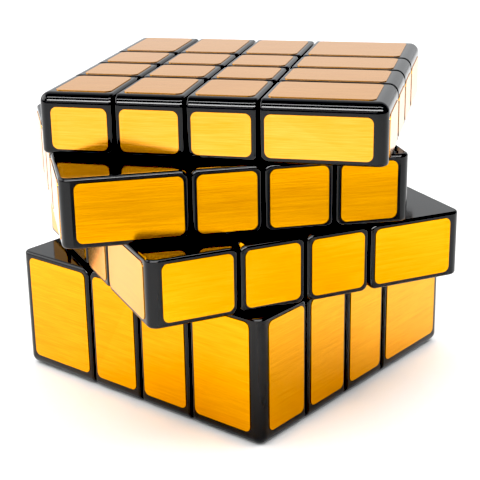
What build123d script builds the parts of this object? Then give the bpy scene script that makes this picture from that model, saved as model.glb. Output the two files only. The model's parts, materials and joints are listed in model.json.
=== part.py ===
"""A mirror block puzzle with four blocks along each edge, and the mechanism that holds it together.

Lined up, the puzzle is a cube. Its turning centre sits away from the cube's own centre by a
different amount on each axis, so the outer blocks all differ in thickness, while the two inner
slices of every axis are equally thick. Here its four horizontal layers stand turned against
each other about the upright axis.

Frame: millimetres, +Z up, X and Y square to the bottom layer. The origin is the centre of the
bottom layer's square face, on the surface that the puzzle stands on. The upright turning axis
stands to the left and front of it.

How it holds together: a six-armed core carries a spring-loaded cap on each arm. The caps hold
four inner centre pieces each, those hold the visible centre blocks, the centre blocks hold the
edge blocks, and the edge blocks hold the corners. Every piece reaches under its neighbours with
a foot, and every joint face is a surface of revolution about the axis that turns past it: a
plane outside, a cone at the necks, and planes and spheres at the feet.
"""

import os
from math import sqrt

from build123d import *

# ---- driving dimensions: the outside -------------------------------------------------------
CUBE_SIDE = 60.0  # edge of the cube when all the layers are lined up
SLICE = 12.5  # thickness of each inner slice, on every axis
CENTRE_STEP = CUBE_SIDE / 45  # the core stands 3, 1 and 5 of these off the cube's centre
FOIL = 0.12  # thickness of a foil plate
BLOCK_GAP = 0.3  # between the faces of neighbouring blocks
OUTER_ROUND = 1.8  # rounding of an edge between two outer faces
SEAM_ROUND = 0.6  # rounding of an edge between an outer face and a joint face
DEPTH_ROUND = 1.4  # rounding of an edge that runs inwards along a seam
FOIL_SEAM_MARGIN = 1.12  # from a joint plane to the foil
FOIL_OUTER_MARGIN = 2.35  # from an outer edge of the cube to the foil
FOIL_CORNER = 1.1

# ---- driving dimensions: the mechanism -----------------------------------------------------
NECK_SLOPE = 0.48  # height of the neck's cone over its distance from the core's centre
NECK_RADIUS = 19.65  # sphere between the necks and the upper feet
FOOT_RADIUS = 14.35  # sphere between the upper feet and the lower feet
HUB_RADIUS = 10.85  # sphere between the lower feet and the core
FOOT_PLANE = 8.2  # where the outer layer's feet begin
INNER_HALF = 3.5  # half the thickness of the hidden middle slice
INNER_FOOT_HALF = 1.8  # the same, at its lower feet
JOINT_GAP = 0.4  # between the surfaces of the mechanism
CENTRE_BALL = 22.0  # inside this sphere a centre block keeps its neck
EDGE_BALL = 25.4  # the same for edge and corner blocks
PLANE_RELIEF = 0.1  # how far a region's outer plane stands off the block's own face
FAR = 60.0  # beyond every face

# ---- driving dimensions: the core and its hardware -----------------------------------------
HUB = 4.6
ARM = 3.0
FLANGE = 6.5
FLANGE_BASE = 7.8
PILOT = 1.05
PILOT_END = 4.0
SCREW_SHANK = 1.0
SCREW_TIP = 4.6
SCREW_HEAD = 2.0
SCREW_HEAD_BOTTOM = 18.0
SCREW_HEAD_TOP = 19.1
SLOT_LENGTH = 2.6
SLOT_WIDTH = 0.6
SLOT_DEPTH = 0.6
SPRING_WIRE = 0.2
SPRING_RADIUS = 1.6
SPRING_TURNS = 3
CAP_BORE = 2.5
CAP_BORE_FLOOR = 15.6
CAP_HOLE = 1.2

# ---- how the puzzle stands -------------------------------------------------------------------
LAYERS = ("bottom", "lower", "upper", "top")
REST_TURN = (0.0, -116.6, 141.7, -63.5)  # turn of each layer from the bottom one, degrees

# ---- worked out --------------------------------------------------------------------------------
HALF = CUBE_SIDE / 2
OFFSETS = (3 * CENTRE_STEP, CENTRE_STEP, -5 * CENTRE_STEP)
CUTS = [(-(HALF - off), -SLICE, 0.0, SLICE, HALF + off) for off in OFFSETS]
CORE_PLACE = (-OFFSETS[0], -OFFSETS[1], FOIL - CUTS[2][0])
NECK_TAN = NECK_SLOPE / sqrt(1 - NECK_SLOPE**2)
NECK_SHIFT = JOINT_GAP / 2 * sqrt(1 + NECK_TAN**2)
GAP = JOINT_GAP / 2
AXES = (Axis.X, Axis.Y, Axis.Z)
FACING = {  # turns a solid made along +Z to face each way
    (0, 1): Rot(0, 90, 0),
    (0, -1): Rot(0, -90, 0),
    (1, 1): Rot(-90, 0, 0),
    (1, -1): Rot(90, 0, 0),
    (2, 1): Rot(0, 0, 0),
    (2, -1): Rot(180, 0, 0),
}
FACING_NORMAL = {
    (axis, sign): Vector(*[sign * (axis == other) for other in range(3)])
    for axis in range(3)
    for sign in (1, -1)
}
SIDES_X = {0: "left", 1: "left", 2: "right", 3: "right"}
SIDES_Y = {0: "front", 1: "front", 2: "back", 3: "back"}


# ---- the regions that layers and slices may fill -------------------------------------------------
def at_height(radius, height):
    """The point of a sphere's profile at a height."""
    return (sqrt(radius**2 - height**2), height)


def on_cone(radius, shift):
    """Where the neck's cone, shifted up, meets a sphere's profile."""
    a, b, c = 1 + NECK_TAN**2, 2 * NECK_TAN * shift, shift**2 - radius**2
    across = (-b + sqrt(b * b - 4 * a * c)) / (2 * a)
    return (across, NECK_TAN * across + shift)


def sphere_arc(start, end, radius):
    """An arc of a sphere's profile about the origin, through the point halfway along it."""
    middle = (Vector(*start) + Vector(*end)).normalized() * radius
    ThreePointArc(start, (middle.X, middle.Y), end)


def outer_region():
    """Where an outer layer's pieces may be, with that layer at +Z."""
    ball = NECK_RADIUS - GAP
    foot, neck = at_height(ball, FOOT_PLANE + GAP), on_cone(ball, NECK_SHIFT)
    face = SLICE - PLANE_RELIEF
    with BuildPart() as region:
        with BuildSketch(Plane.XZ) as profile:
            with BuildLine():
                Polyline((0, FOOT_PLANE + GAP), foot)
                sphere_arc(foot, neck, ball)
                Polyline(
                    neck,
                    ((face - NECK_SHIFT) / NECK_TAN, face),
                    (FAR, face),
                    (FAR, FAR),
                    (0, FAR),
                    (0, FOOT_PLANE + GAP),
                )
            make_face()
        revolve(profile.sketch, Axis.Z)
    return region.part


def inner_region():
    """Where the pieces of the inner slice next to +Z may be."""
    ball, foot_ball = NECK_RADIUS + GAP, FOOT_RADIUS - GAP
    foot, neck = at_height(ball, FOOT_PLANE - GAP), on_cone(ball, -NECK_SHIFT)
    face = SLICE + PLANE_RELIEF
    low, step = at_height(ball, GAP), at_height(ball, INNER_HALF + GAP)
    heel, toe = at_height(foot_ball, INNER_HALF + GAP), at_height(foot_ball, INNER_FOOT_HALF + GAP)
    with BuildPart() as region:
        with BuildSketch(Plane.XZ) as profile:
            with BuildLine():
                Polyline((0, FOOT_PLANE - GAP), foot)
                sphere_arc(foot, neck, ball)
                Polyline(neck, ((face + NECK_SHIFT) / NECK_TAN, face), (FAR, face), (FAR, GAP), low)
                sphere_arc(low, step, ball)
                Polyline(step, heel)
                sphere_arc(heel, toe, foot_ball)
                Polyline(toe, (0, INNER_FOOT_HALF + GAP), (0, FOOT_PLANE - GAP))
            make_face()
        revolve(profile.sketch, Axis.Z)
    return region.part


def middle_region():
    """Where the pieces of the hidden middle slice square to Z may be."""
    ball, foot_ball = NECK_RADIUS - GAP, FOOT_RADIUS + GAP
    high, low = INNER_HALF - GAP, INNER_FOOT_HALF - GAP
    rim, heel, toe = at_height(ball, high), at_height(foot_ball, high), at_height(foot_ball, low)
    with BuildPart() as region:
        with BuildSketch(Plane.XZ) as profile:
            with BuildLine():
                Polyline((0, 0), (ball, 0))
                sphere_arc((ball, 0), rim, ball)
                Polyline(rim, heel)
                sphere_arc(heel, toe, foot_ball)
                Polyline(toe, (0, low), (0, 0))
            make_face()
        revolve(profile.sketch, Axis.Z)
        mirror(about=Plane.XY)
    return region.part


OUTER, INNER, MIDDLE = outer_region(), inner_region(), middle_region()
MID = "mid"  # stands beside the layer numbers 0 to 3 for the hidden middle slice


def region(axis, cell):
    """The region of one layer, slice or hidden slice on an axis."""
    if cell == MID:
        return FACING[axis, 1] * MIDDLE
    sign = 1 if cell in (2, 3) else -1
    return FACING[axis, sign] * (OUTER if cell in (0, 3) else INNER)


# ---- the blocks ------------------------------------------------------------------------------------
def outer_side(cell):
    """Which way a cell's outer face looks along its axis: -1, 1, or 0 for none."""
    return {0: -1, 3: 1}.get(cell, 0)


def block_span(axis, cell):
    """Lowest and highest coordinate of a block's own faces along an axis."""
    low, high = CUTS[axis][cell], CUTS[axis][cell + 1]
    side = outer_side(cell)
    return (low if side < 0 else low + BLOCK_GAP / 2, high if side > 0 else high - BLOCK_GAP / 2)


def box_edges(part, spans, cells, wanted):
    """The straight edges of a block, by kind: between two outer faces, two joint faces, or one of each."""
    found = ShapeList()
    for along in range(3):
        a, b = [axis for axis in range(3) if axis != along]
        for edge in part.edges().filter_by(AXES[along]):
            place = tuple(edge.center())
            sides = []
            for axis in (a, b):
                nearest = min((0, 1), key=lambda end: abs(spans[axis][end] - place[axis]))
                if abs(spans[axis][nearest] - place[axis]) < 1e-3:
                    sides.append(outer_side(cells[axis]) == (-1, 1)[nearest])
            if len(sides) < 2:
                continue
            kind = ("joint", "seam", "outer")[sum(sides)]
            if kind == wanted and (kind != "joint" or outer_side(cells[along])):
                found.append(edge)
    return found


def rounded_block(cells):
    """The outside of a block: a box with its three kinds of edge rounded."""
    spans = [block_span(axis, cell) for axis, cell in enumerate(cells)]
    size = [high - low for low, high in spans]
    centre = [(low + high) / 2 for low, high in spans]
    with BuildPart() as block:
        with Locations(tuple(centre)):
            Box(*size)
        fillet(box_edges(block.part, spans, cells, "joint"), DEPTH_ROUND)
        if sum(outer_side(cell) != 0 for cell in cells) > 1:
            fillet(box_edges(block.part, spans, cells, "outer"), OUTER_ROUND)
        fillet(box_edges(block.part, spans, cells, "seam"), SEAM_ROUND)
    return block.part


def visible_block(cells):
    """A corner, edge or centre block, with its neck and foot."""
    is_centre = sum(outer_side(cell) != 0 for cell in cells) == 1
    with BuildPart() as block:
        add(rounded_block(cells))
        Sphere(CENTRE_BALL if is_centre else EDGE_BALL)
        for axis, cell in enumerate(cells):
            add(region(axis, cell), mode=Mode.INTERSECT)
        Sphere((HUB_RADIUS if is_centre else FOOT_RADIUS) + GAP, mode=Mode.SUBTRACT)
    return block.part


def hidden_piece(cells, bottom_radius):
    """An inner centre, inner edge or axis cap: what its three regions share."""
    first, *others = sorted(range(3), key=lambda axis: cells[axis] != MID)
    with BuildPart() as piece:
        add(region(first, MID))
        for axis in others:
            add(region(axis, cells[axis]), mode=Mode.INTERSECT)
        Sphere(bottom_radius + GAP, mode=Mode.SUBTRACT)
    return piece.part


def axis_cap(cells):
    """The cap on an arm of the core, bored for its screw and spring."""
    axis = next(a for a in range(3) if cells[a] != MID)
    out = Plane((0, 0, 0), z_dir=FACING_NORMAL[axis, outer_side(cells[axis])])
    with BuildPart() as cap:
        add(hidden_piece(cells, HUB_RADIUS))
        with BuildSketch(out.offset(CAP_BORE_FLOOR)):
            Circle(CAP_BORE)
        extrude(amount=NECK_RADIUS, mode=Mode.SUBTRACT)
        with BuildSketch(out):
            Circle(CAP_HOLE)
        extrude(amount=NECK_RADIUS, mode=Mode.SUBTRACT)
    return cap.part


# ---- the foils -------------------------------------------------------------------------------------
def foil_span(axis, cell):
    """Lowest and highest coordinate of a foil along an axis."""
    low, high = CUTS[axis][cell], CUTS[axis][cell + 1]
    side = outer_side(cell)
    return (
        low + (FOIL_OUTER_MARGIN if side < 0 else FOIL_SEAM_MARGIN),
        high - (FOIL_OUTER_MARGIN if side > 0 else FOIL_SEAM_MARGIN),
    )


def foils(cells):
    """One rounded plate on each outer face of a block."""
    plates = []
    for axis, cell in enumerate(cells):
        side = outer_side(cell)
        if not side:
            continue
        a, b = [other for other in range(3) if other != axis]
        spans = foil_span(a, cells[a]), foil_span(b, cells[b])
        origin = [0.0, 0.0, 0.0]
        origin[axis] = CUTS[axis][0 if side < 0 else 4]
        origin[a], origin[b] = sum(spans[0]) / 2, sum(spans[1]) / 2
        face = Plane(origin, x_dir=FACING_NORMAL[a, 1], z_dir=FACING_NORMAL[axis, side])
        with BuildPart() as plate:
            with BuildSketch(face):
                RectangleRounded(spans[0][1] - spans[0][0], spans[1][1] - spans[1][0], FOIL_CORNER)
            extrude(amount=FOIL)
        plates.append(plate.part)
    return plates


# ---- the core and its hardware ---------------------------------------------------------------------
def core_arm():
    """One arm of the core along +Z, with its flange."""
    with BuildPart() as arm:
        with BuildSketch():
            Circle(ARM)
        extrude(amount=FLANGE_BASE + 1)
        with BuildSketch(Plane.XY.offset(FLANGE_BASE)):
            Circle(FLANGE)
        extrude(amount=HUB_RADIUS)
        Sphere(HUB_RADIUS - GAP, mode=Mode.INTERSECT)
    return arm.part


def pilot_hole():
    """The hole along +Z that an axis screw cuts its thread in."""
    with BuildPart() as hole:
        with BuildSketch(Plane.XY.offset(PILOT_END)):
            Circle(PILOT)
        extrude(amount=HUB_RADIUS)
    return hole.part


def core_spider():
    """Hub, six arms and their flanges, with a pilot hole down each arm."""
    arm, hole = core_arm(), pilot_hole()
    with BuildPart() as core:
        Sphere(HUB)
        for facing in FACING.values():
            add(facing * arm)
        for facing in FACING.values():
            add(facing * hole, mode=Mode.SUBTRACT)
    return core.part


def axis_screw():
    """A pan-head screw along +Z, with a cross recess."""
    with BuildPart() as screw:
        with BuildSketch(Plane.XY.offset(SCREW_TIP)):
            Circle(SCREW_SHANK)
        extrude(amount=SCREW_HEAD_BOTTOM - SCREW_TIP)
        with BuildSketch(Plane.XY.offset(SCREW_HEAD_BOTTOM)):
            Circle(SCREW_HEAD)
        extrude(amount=SCREW_HEAD_TOP - SCREW_HEAD_BOTTOM)
        fillet(screw.edges().sort_by(Axis.Z)[-1], 0.3)
        with BuildSketch(Plane.XY.offset(SCREW_HEAD_TOP)):
            Rectangle(SLOT_LENGTH, SLOT_WIDTH)
            Rectangle(SLOT_WIDTH, SLOT_LENGTH)
        extrude(amount=-SLOT_DEPTH, mode=Mode.SUBTRACT)
        chamfer(screw.edges().sort_by(Axis.Z)[0], 0.3)
    return screw.part


def axis_spring():
    """The compression spring between a cap's floor and its screw's head."""
    room = SCREW_HEAD_BOTTOM - CAP_BORE_FLOOR
    height = room - 2 * SPRING_WIRE - 0.1
    start = CAP_BORE_FLOOR + (room - height) / 2
    with BuildPart() as spring:
        with BuildLine(Plane.XY.offset(start)) as coil:
            Helix(pitch=height / SPRING_TURNS, height=height, radius=SPRING_RADIUS)
        with BuildSketch(Plane(coil.line @ 0, z_dir=coil.line % 0)):
            Circle(SPRING_WIRE)
        sweep(is_frenet=True)
    return spring.part


# ---- which pieces make which node ------------------------------------------------------------------
def block_node(i, j, k):
    """The node that a visible block belongs to."""
    layer, outer = LAYERS[k], [outer_side(cell) != 0 for cell in (i, j, k)]
    if sum(outer) == 3:
        return f"{layer}_corner_{SIDES_Y[j]}_{SIDES_X[i]}"
    if sum(outer) == 1:
        side = "" if outer[2] else f"_{SIDES_X[i] if outer[0] else SIDES_Y[j]}"
        return f"{layer}_centres{side}"
    if not outer[2] or outer[1]:
        return f"{layer}_edge_{SIDES_Y[j]}_{SIDES_X[i]}"
    return f"{layer}_edge_{SIDES_X[i]}_{SIDES_Y[j]}"


def hidden_node(cells):
    """The node that a hidden piece belongs to, by what it is and the layer that carries it."""
    middles = sum(cell == MID for cell in cells)
    outers = sum(cell in (0, 3) for cell in cells)
    kind = "axis_cap" if middles == 2 else "inner_edges" if outers == 2 else "inner_centres"
    if cells[2] == MID:
        return "side_axis_caps" if middles == 2 else f"core_{kind}"
    return f"{LAYERS[cells[2]]}_{kind}"


def placed(shape, layer):
    """A piece modelled about the core's centre, moved to where its layer stands."""
    turn = 0.0 if layer == MID else REST_TURN[layer]
    return Pos(*CORE_PLACE) * Rot(0, 0, turn) * shape


def collect():
    """Every node's solids, in place."""
    nodes = {}
    cells_of_blocks = [
        (i, j, k) for k in range(4) for j in range(4) for i in range(4) if {i, j, k} & {0, 3}
    ]
    for cells in cells_of_blocks:
        nodes.setdefault(block_node(*cells), []).append(placed(visible_block(cells), cells[2]))
        nodes.setdefault(f"{LAYERS[cells[2]]}_foils", []).extend(
            placed(plate, cells[2]) for plate in foils(cells)
        )
    with_middle = (0, 1, MID, 2, 3)
    for cells in [(i, j, k) for k in with_middle for j in with_middle for i in with_middle]:
        middles = sum(cell == MID for cell in cells)
        outers = sum(cell in (0, 3) for cell in cells)
        if middles == 2 and outers == 1:
            piece = axis_cap(cells)
        elif middles == 1 and outers == 1:
            piece = hidden_piece(cells, HUB_RADIUS)
        elif middles == 1 and outers == 2:
            piece = hidden_piece(cells, FOOT_RADIUS)
        else:
            continue
        nodes.setdefault(hidden_node(cells), []).append(placed(piece, cells[2]))
    nodes["core_spider"] = [placed(core_spider(), MID)]
    for name, piece in (("axis_screws", axis_screw()), ("axis_springs", axis_spring())):
        nodes[name] = [placed(facing * piece, MID) for facing in FACING.values()]
    return nodes


os.makedirs("parts", exist_ok=True)
for name, pieces in collect().items():
    solids = [solid for piece in pieces for solid in piece.solids()]
    node = Compound(solids)
    node.label = name
    export_step(node, f"parts/{name}.step")
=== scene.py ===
"""Looks for the mirror block puzzle: gloss black plastic, brushed gold foils, a pale and soft-lit set.

Everything is in metres in the model's own frame, which stands on the floor at height 0.
"""

import json
from math import cos, pi, radians, sin

import bpy
from mathutils import Matrix, Vector

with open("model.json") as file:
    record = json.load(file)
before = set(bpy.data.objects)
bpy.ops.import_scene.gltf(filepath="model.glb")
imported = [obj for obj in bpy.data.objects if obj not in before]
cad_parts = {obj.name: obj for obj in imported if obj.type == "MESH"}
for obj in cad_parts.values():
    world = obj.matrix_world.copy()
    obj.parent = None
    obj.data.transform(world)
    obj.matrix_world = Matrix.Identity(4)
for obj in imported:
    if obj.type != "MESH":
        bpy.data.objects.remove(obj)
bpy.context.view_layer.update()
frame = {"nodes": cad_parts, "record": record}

# ---- how the puzzle stands -------------------------------------------------------------------
LAYER_TURN = {"bottom": 0.0, "lower": -116.6, "upper": 141.7, "top": -63.5}  # degrees about +Z

# ---- camera -----------------------------------------------------------------------------------
CAMERA_PLACE = Vector((-0.17434, -0.14489, 0.10144))
CAMERA_AIM = Vector((-0.00485, -0.00530, 0.02653))
CAMERA_ROLL = radians(-0.95)
LENS_MM = 89.4
SENSOR_MM = 36.0
NEAREST_SURFACE = 0.01  # the camera's near clipping distance
CAMERA_SIDE = (CAMERA_PLACE - CAMERA_AIM).xy.to_3d().normalized()  # level, towards the camera

# ---- the set ----------------------------------------------------------------------------------
UP = Vector((0, 0, 1))
SQUARE = ((-1, -1), (1, -1), (1, 1), (-1, 1))  # which way each corner lies, going round
FLOOR_HALF = 2.5
LIGHT_AIM = Vector((0, 0, 0.03))  # the middle of the puzzle
TENT_BRIGHT = 0.9  # strength of the tent behind the puzzle
TENT_DIM = 0.35  # the same on the camera's side
TENT_TURN = 20  # degrees that its bright side is turned left of straight behind the puzzle
TENT_FULL = 0.85  # cosine from the bright side's middle at which it reaches full strength
TENT_COLOUR = (0.97, 0.985, 1.0, 1)
FLAG_TURN = 22  # degrees round to the right from the camera's side
FLAG_REACH = 0.172
FLAG_WIDTH = 0.12
FLAG_DEPTH = 0.07
FLAG_HEIGHT = 0.001
CORNER_SHADE = (-0.018, -0.033, 0.0004)  # by the bottom layer's nearest corner
FRONT_SHADE = (-0.018, -0.102, 0.0006)  # farther out, where the lower middle layer's foils look
BLACK_LEVEL = 0.026  # the brightness below which the film shows black

# ---- finishes: pairs are the two tones that a mottle runs between ------------------------------
GOLD = (1.0, 0.455, 0.020, 1)
GOLD_PAINTED_HIGHLIGHT = (1.0, 0.455, 0.075, 1)  # painted highlight: the top layer's foils, paler and lemon-white
GOLD_DEEP = (0.82, 0.315, 0.010, 1)  # the darker strokes of the brushing, on every layer
BLACK = (0.0035, 0.0035, 0.004, 1)
BLACK_WORN = (0.011, 0.011, 0.012, 1)
SATIN_BLACK = ((0.02, 0.02, 0.021, 1), (0.035, 0.035, 0.036, 1))
SATIN_WHITE = ((0.72, 0.72, 0.69, 1), (0.8, 0.8, 0.78, 1))
ZINC = ((0.52, 0.53, 0.55, 1), (0.7, 0.7, 0.68, 1))
FLOOR_WHITE = ((0.90, 0.90, 0.895, 1), (0.93, 0.93, 0.93, 1))
CARD_GREY = ((0.33, 0.33, 0.33, 1), (0.4, 0.4, 0.4, 1))
SHADE_GREY = (0.08, 0.08, 0.08, 1)
PLASTIC_IOR = 1.5
EDGE_ROUND = 0.0006  # radius in metres that finds the edges where the black is rubbed


# ---- node helpers ------------------------------------------------------------------------------
class Tree:
    """A material's node tree, with short ways to add the nodes used here."""

    def __init__(self, name):
        self.material = bpy.data.materials.new(name)
        self.material.use_nodes = True
        self.nodes = self.material.node_tree.nodes
        self.links = self.material.node_tree.links
        self.shader = self.nodes["Principled BSDF"]

    def add(self, kind, inputs=None, **settings):
        node = self.nodes.new(kind)
        for key, value in settings.items():
            setattr(node, key, value)
        for key, value in (inputs or {}).items():
            self.feed(value, node.inputs[key])
        return node

    def feed(self, value, socket):
        if isinstance(value, bpy.types.NodeSocket):
            self.links.new(value, socket)
        else:
            socket.default_value = value

    def maths(self, operation, a, b=0.0, clamp=False):
        node = self.add("ShaderNodeMath", {0: a, 1: b}, operation=operation, use_clamp=clamp)
        return node.outputs[0]

    def noise(self, vector, scale, detail=2.0, roughness=0.5):
        inputs = {"Vector": vector, "Scale": scale, "Detail": detail, "Roughness": roughness}
        return self.add("ShaderNodeTexNoise", inputs).outputs[0]

    def ramp(self, value, low, high, to_low=0.0, to_high=1.0, curve="LINEAR"):
        """Value's range from low to high, stretched to run from to_low to to_high."""
        inputs = {0: value, 1: low, 2: high, 3: to_low, 4: to_high}
        return self.add("ShaderNodeMapRange", inputs, interpolation_type=curve).outputs[0]

    def mix_colours(self, factor, a, b):
        node = self.add("ShaderNodeMix", data_type="RGBA")
        for socket, value in zip((node.inputs[0], node.inputs[6], node.inputs[7]), (factor, a, b)):
            self.feed(value, socket)
        return node.outputs[2]

    def bump(self, height, distance, strength, normal=None):
        inputs = {"Height": height, "Distance": distance, "Strength": strength}
        if normal is not None:
            inputs["Normal"] = normal
        return self.add("ShaderNodeBump", inputs).outputs[0]

    def place(self, turn=0.0):
        """The model's own coordinates, turned to lie square to a layer."""
        where = self.add("ShaderNodeTexCoord").outputs["Object"]
        if not turn:
            return where
        inputs = {"Vector": where, "Rotation": (0, 0, radians(-turn))}
        return self.add("ShaderNodeMapping", inputs).outputs[0]

    def shade(self, **inputs):
        """Feeds the shader's sockets, named with _ for a space, and hands back the material."""
        for key, value in inputs.items():
            self.feed(value, self.shader.inputs[key.replace("_", " ")])
        return self.material


# ---- materials ---------------------------------------------------------------------------------
def brushed_gold(layer):
    """Lacquered gold foil, brushed along each block: level on the sides, across on top."""
    t = Tree(f"gold_foil_{layer}")
    place = t.place(LAYER_TURN[layer])
    normal = t.add("ShaderNodeNewGeometry").outputs["True Normal"]
    upward = t.add("ShaderNodeSeparateXYZ", {0: normal}).outputs[2]
    level_face = t.maths("GREATER_THAN", t.maths("ABSOLUTE", upward), 0.5)
    side_face = t.maths("SUBTRACT", 1.0, level_face)

    def grain(along, across):
        """Noise drawn out along the brushing: cells per metre along it and across it."""
        scales = {
            0: along,
            1: t.ramp(level_face, 0, 1, along, across),
            2: t.ramp(side_face, 0, 1, along, across),
        }
        stretched = t.add("ShaderNodeCombineXYZ", scales).outputs[0]
        scaled = t.add("ShaderNodeVectorMath", {0: place, 1: stretched}, operation="MULTIPLY")
        return t.noise(scaled.outputs[0], 1.0, detail=3.0, roughness=0.6)

    strokes, hairs, threads = grain(95, 3000), grain(210, 7000), grain(40, 1300)
    island = t.add("ShaderNodeNewGeometry").outputs["Random Per Island"]
    blotch = t.noise(place, 45.0, detail=1.0)
    # strokes and hairs make most of the tone; the rest shifts it a little from place to place
    tone = t.ramp(strokes, 0.3, 0.7, 0.05, 0.5)
    tone = t.maths("ADD", tone, t.ramp(hairs, 0.3, 0.7, 0.0, 0.55))
    tone = t.maths("ADD", tone, t.ramp(threads, 0.35, 0.65, -0.06, 0.06))
    tone = t.maths("ADD", tone, t.ramp(blotch, 0.35, 0.65, -0.08, 0.08))
    tone = t.maths("ADD", tone, t.ramp(island, 0, 1, -0.08, 0.08), clamp=True)
    # the top layer's foils take the paler gold, a painted highlight
    gold = GOLD_PAINTED_HIGHLIGHT if layer == "top" else GOLD
    dull = t.ramp(strokes, 0.3, 0.7, 0.13, 0.18)
    lines = t.bump(hairs, 0.000010, 0.4)
    lines = t.bump(strokes, 0.000006, 0.4, lines)
    waves = t.bump(t.noise(place, 110.0, detail=1.0), 0.00004, 0.12, lines)
    return t.shade(
        Base_Color=t.mix_colours(tone, GOLD_DEEP, gold),
        Metallic=1.0,
        Roughness=dull,
        Normal=waves,
        Coat_Weight=0.12,
        Coat_Roughness=0.2,
        Coat_IOR=PLASTIC_IOR,
    )


def gloss_black():
    """Polished black plastic: faint ripple, handling smudges, hair scratches and rubbed edges."""
    t = Tree("black_plastic")
    place = t.place()
    ripple = t.noise(place, 260.0, detail=2.0)
    smudge = t.noise(place, 70.0, detail=4.0, roughness=0.65)
    aslant = {"Vector": place, "Rotation": (0.5, 0.3, 0.8), "Scale": (1, 9, 1)}
    drawn_out = t.add("ShaderNodeMapping", aslant).outputs[0]
    scratch = t.noise(drawn_out, 900.0, detail=5.0, roughness=0.7)
    scratched = t.ramp(scratch, 0.66, 0.72)
    flat = t.add("ShaderNodeNewGeometry").outputs["Normal"]
    rounded = t.add("ShaderNodeBevel", {"Radius": EDGE_ROUND}, samples=4).outputs[0]
    agreement = t.add("ShaderNodeVectorMath", {0: flat, 1: rounded}, operation="DOT_PRODUCT")
    edge = t.ramp(agreement.outputs["Value"], 0.995, 0.9)
    worn = t.maths("MULTIPLY", edge, t.ramp(smudge, 0.4, 0.6), clamp=True)
    dull = t.ramp(smudge, 0.35, 0.7, 0.05, 0.12)
    dull = t.maths("ADD", dull, t.maths("MULTIPLY", scratched, 0.08))
    dull = t.maths("ADD", dull, t.maths("MULTIPLY", worn, 0.12))
    surface = t.bump(ripple, 0.00003, 0.3)
    surface = t.bump(scratch, 0.000003, 0.2, surface)
    return t.shade(
        Base_Color=t.mix_colours(worn, BLACK, BLACK_WORN),
        Roughness=dull,
        Normal=surface,
        IOR=PLASTIC_IOR,
        Specular_IOR_Level=0.42,
    )


def moulded(name, colours, roughness):
    """Satin moulded plastic of the hidden parts, with a fine spark-eroded texture."""
    t = Tree(name)
    place = t.place()
    cloud = t.noise(place, 120.0, detail=3.0)
    grit = t.noise(place, 2600.0, detail=2.0)
    return t.shade(
        Base_Color=t.mix_colours(t.ramp(cloud, 0.35, 0.65), *colours),
        Roughness=t.ramp(cloud, 0.3, 0.7, roughness - 0.06, roughness + 0.06),
        Normal=t.bump(grit, 0.00001, 0.5),
        IOR=PLASTIC_IOR,
    )


def plated_steel():
    """Zinc-plated steel of the screws and springs, with a fine crystal mottle."""
    t = Tree("steel")
    place = t.place()
    crystals = t.noise(place, 900.0, detail=4.0, roughness=0.7)
    cloud = t.noise(place, 200.0, detail=2.0)
    return t.shade(
        Base_Color=t.mix_colours(t.ramp(cloud, 0.3, 0.7), *ZINC),
        Metallic=1.0,
        Roughness=t.ramp(crystals, 0.3, 0.7, 0.22, 0.38),
        Normal=t.bump(crystals, 0.00001, 0.4),
    )


def pale_floor():
    """A smooth white table top."""
    t = Tree("floor")
    cloud = t.noise(t.place(), 6.0, detail=2.0)
    return t.shade(
        Base_Color=t.mix_colours(cloud, *FLOOR_WHITE),
        Roughness=0.55,
        Specular_IOR_Level=0.2,
    )


def grey_card():
    """Matt grey card with a slight mottle."""
    t = Tree("card")
    cloud = t.noise(t.place(), 60.0, detail=2.0)
    return t.shade(Base_Color=t.mix_colours(cloud, *CARD_GREY), Roughness=0.8)


def soft_shade(name, middle, radius, strength):
    """A matt dark grey that covers by strength at the middle and fades out to nothing at radius."""
    t = Tree(name)
    away = t.add("ShaderNodeVectorMath", {0: t.place(), 1: middle}, operation="DISTANCE")
    cover = t.ramp(away.outputs["Value"], radius, 0.0, 0.0, strength, curve="SMOOTHSTEP")
    return t.shade(Base_Color=SHADE_GREY, Roughness=0.8, Alpha=cover)


def dress_nodes():
    """Every CAD node gets the finish of its slot in the record."""
    finishes = {
        "black_plastic": gloss_black(),
        "inner_plastic": moulded("inner_plastic", SATIN_BLACK, 0.38),
        "core_plastic": moulded("core_plastic", SATIN_WHITE, 0.42),
        "steel": plated_steel(),
    }
    foils = {layer: brushed_gold(layer) for layer in LAYER_TURN}
    for part in frame["record"]["subparts"]:
        name, slot = part["node"], part["material_slot"]
        finish = foils[name.split("_")[0]] if slot == "gold_foil" else finishes[slot]
        materials = frame["nodes"][name].data.materials
        for index in range(len(materials)):
            materials[index] = finish


# ---- the set -----------------------------------------------------------------------------------
def lay_flat(name, corners, material):
    """A flat four-cornered piece of the set, which is no part of the puzzle."""
    mesh = bpy.data.meshes.new(name)
    mesh.from_pydata(corners, [], [(0, 1, 2, 3)])
    mesh.materials.append(material)
    piece = bpy.data.objects.new(name, mesh)
    bpy.context.scene.collection.objects.link(piece)
    return piece


def make_floor():
    corners = [(FLOOR_HALF * across, FLOOR_HALF * along, 0) for across, along in SQUARE]
    lay_flat("floor", corners, pale_floor())


def round_from_camera(turn):
    """The level direction that is turn degrees round to the right from the camera's side."""
    return Matrix.Rotation(radians(turn), 3, "Z") @ CAMERA_SIDE


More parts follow.
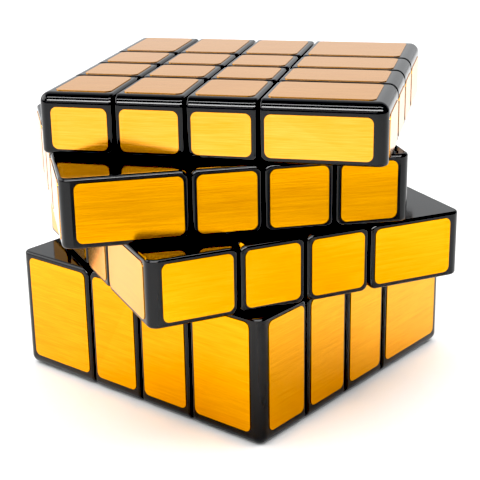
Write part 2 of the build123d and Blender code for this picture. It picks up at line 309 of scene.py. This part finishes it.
def soft_light(name, turn, rise, reach, size, brightness, seen_in="both"):
    """A rectangular soft light that looks at the puzzle.

    It stands turn degrees round to the right from the camera's side and rise degrees up, as seen
    from the puzzle. Brightness is what a mirror would show of it, where paper white is 1. It can
    be seen in reflections ("gloss"), by matt surfaces ("matt") or in both.
    """
    data = bpy.data.lights.new(name, "AREA")
    data.shape = "RECTANGLE"
    data.size, data.size_y = size
    data.energy = brightness * pi * size[0] * size[1]
    light = bpy.data.objects.new(name, data)
    way = round_from_camera(turn) * cos(radians(rise)) + UP * sin(radians(rise))
    light.location = LIGHT_AIM + way * reach
    light.rotation_euler = (-way).to_track_quat("-Z", "Y").to_euler()
    light.visible_camera = False
    light.visible_glossy = seen_in != "matt"
    light.visible_diffuse = seen_in != "gloss"
    bpy.context.scene.collection.objects.link(light)


def make_lights():
    """Boxes that only the gloss shows, panels at the sides, and fills that only matt surfaces show."""
    soft_light("crown_strip", 0, 64, reach=1.1, size=(1.6, 0.15), brightness=10.0, seen_in="gloss")
    soft_light("brow_box", 0, 31, reach=1.0, size=(1.5, 0.22), brightness=17.0, seen_in="gloss")
    soft_light("front_panel", -32, 10, reach=1.2, size=(0.9, 0.3), brightness=0.9)
    soft_light("left_panel", -95, 28, reach=0.8, size=(0.8, 0.5), brightness=2.4)
    soft_light("left_fill", -26, 52, reach=0.38, size=(0.3, 0.3), brightness=1.8, seen_in="matt")
    soft_light("right_fill", 95, 42, reach=0.5, size=(0.4, 0.4), brightness=2.5, seen_in="matt")
    soft_light("ceiling", -160, 80, reach=1.2, size=(1.7, 1.7), brightness=1.75, seen_in="matt")


def lay_card(name, corners, material):
    """A card on the floor that only the gloss can see."""
    card = lay_flat(name, corners, material)
    card.visible_camera = False
    card.visible_diffuse = False
    card.visible_shadow = False


def make_flag():
    """A grey card on the floor just out of view, which tempers the floor that the foils mirror."""
    towards = round_from_camera(FLAG_TURN)
    across = UP.cross(towards)
    middle = towards * FLAG_REACH + UP * FLAG_HEIGHT
    corners = [
        middle + towards * (FLAG_DEPTH / 2 * out) + across * (FLAG_WIDTH / 2 * side)
        for out, side in SQUARE
    ]
    lay_card("flag", corners, grey_card())


def make_shade(name, middle, radius, strength):
    """A soft dark patch in the floor that the lower foils mirror, as the puzzle's own shade gives."""
    corners = [
        Vector(middle) + Vector((radius * across, radius * along, 0)) for across, along in SQUARE
    ]
    lay_card(name, corners, soft_shade(name, middle, radius, strength))


def make_world():
    """A light tent: bright behind the puzzle, dim on the camera's side."""
    world = bpy.data.worlds.new("tent")
    bpy.context.scene.world = world
    world.use_nodes = True
    nodes, links = world.node_tree.nodes, world.node_tree.links
    place = nodes.new("ShaderNodeTexCoord")
    facing = nodes.new("ShaderNodeVectorMath")
    facing.operation = "DOT_PRODUCT"
    facing.inputs[1].default_value = -round_from_camera(TENT_TURN)
    level = nodes.new("ShaderNodeMapRange")
    level.interpolation_type = "SMOOTHSTEP"
    for socket, value in zip(level.inputs[1:], (0.0, TENT_FULL, TENT_DIM, TENT_BRIGHT)):
        socket.default_value = value
    links.new(place.outputs["Generated"], facing.inputs[0])
    links.new(facing.outputs["Value"], level.inputs[0])
    links.new(level.outputs[0], nodes["Background"].inputs["Strength"])
    nodes["Background"].inputs["Color"].default_value = TENT_COLOUR


def make_camera():
    data = bpy.data.cameras.new("camera")
    data.sensor_width = SENSOR_MM
    data.lens = LENS_MM
    data.clip_start = NEAREST_SURFACE
    camera = bpy.data.objects.new("camera", data)
    facing = (CAMERA_AIM - CAMERA_PLACE).to_track_quat("-Z", "Y").to_matrix().to_4x4()
    roll = Matrix.Rotation(CAMERA_ROLL, 4, "Z")
    camera.matrix_world = Matrix.Translation(CAMERA_PLACE) @ facing @ roll
    bpy.context.scene.collection.objects.link(camera)
    bpy.context.scene.camera = camera


def set_film():
    """A plain film response with slightly crushed blacks, as product photographs have."""
    film = bpy.context.scene.view_settings
    film.view_transform = "Standard"
    film.use_curve_mapping = True
    film.curve_mapping.black_level = (BLACK_LEVEL, BLACK_LEVEL, BLACK_LEVEL)
    film.curve_mapping.update()


make_camera()
make_world()
make_lights()
make_floor()
make_flag()
make_shade("corner_shade", CORNER_SHADE, radius=0.06, strength=0.42)
make_shade("front_shade", FRONT_SHADE, radius=0.058, strength=0.32)
dress_nodes()
set_film()
